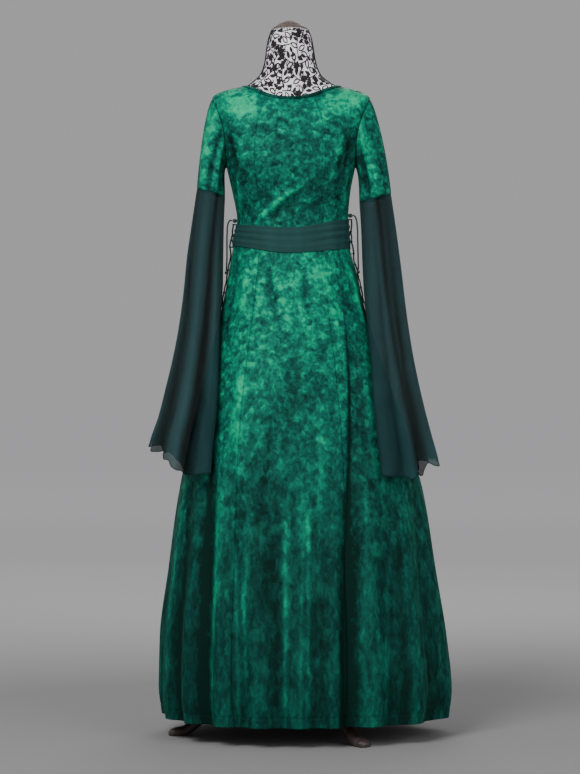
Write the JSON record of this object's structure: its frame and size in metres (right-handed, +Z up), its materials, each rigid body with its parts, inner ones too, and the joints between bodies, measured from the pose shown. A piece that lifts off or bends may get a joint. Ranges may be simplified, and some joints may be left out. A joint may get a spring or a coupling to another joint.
{
  "type": "medieval gown on dress form",
  "caption": "Floor-length velvet gown with long chiffon bell sleeves, a chiffon sash and laced side seams, hanging on a limbless dress form with a tripod stand.",
  "frame": {"origin": "on the floor, under the middle of the part's box", "axes": "+Z up along the stand's pole, the gown's front faces -Y, +X is the right of the picture"},
  "size_m": [0.6846, 0.5268, 1.6398],
  "materials": {
    "velvet": "crushed velvet",
    "chiffon": "sheer chiffon",
    "sash": "doubled chiffon",
    "binding": "turned velvet binding",
    "lace": "twisted cord",
    "form_cover": "jersey under floral lace",
    "form_cap": "satin",
    "stand": "dark stained, satin"
  },
  "bodies": {
    "root": {"front_centre": "velvet", "front_side_right": "velvet", "front_side_left": "velvet", "back_centre": "velvet", "back_side_right": "velvet", "back_side_left": "velvet", "velvet_sleeve_left": "velvet", "velvet_sleeve_right": "velvet", "bell_sleeve_left": "chiffon", "bell_sleeve_right": "chiffon", "neck_binding": "binding", "sash": "sash", "sash_knot": "sash", "sash_tail_left": "sash", "sash_tail_right": "sash", "lacing_left": "lace", "lacing_right": "lace", "lace_knot_left": "lace", "lace_knot_right": "lace", "tie_left": "lace", "tie_right": "lace", "tie_end_left": "lace", "tie_end_right": "lace", "form_torso": "form_cover", "form_cap": "form_cap", "stand_pole": "stand", "stand_hub": "stand", "stand_leg_front": "stand", "stand_leg_left": "stand", "stand_leg_back": "stand"}
  },
  "joints": []
}
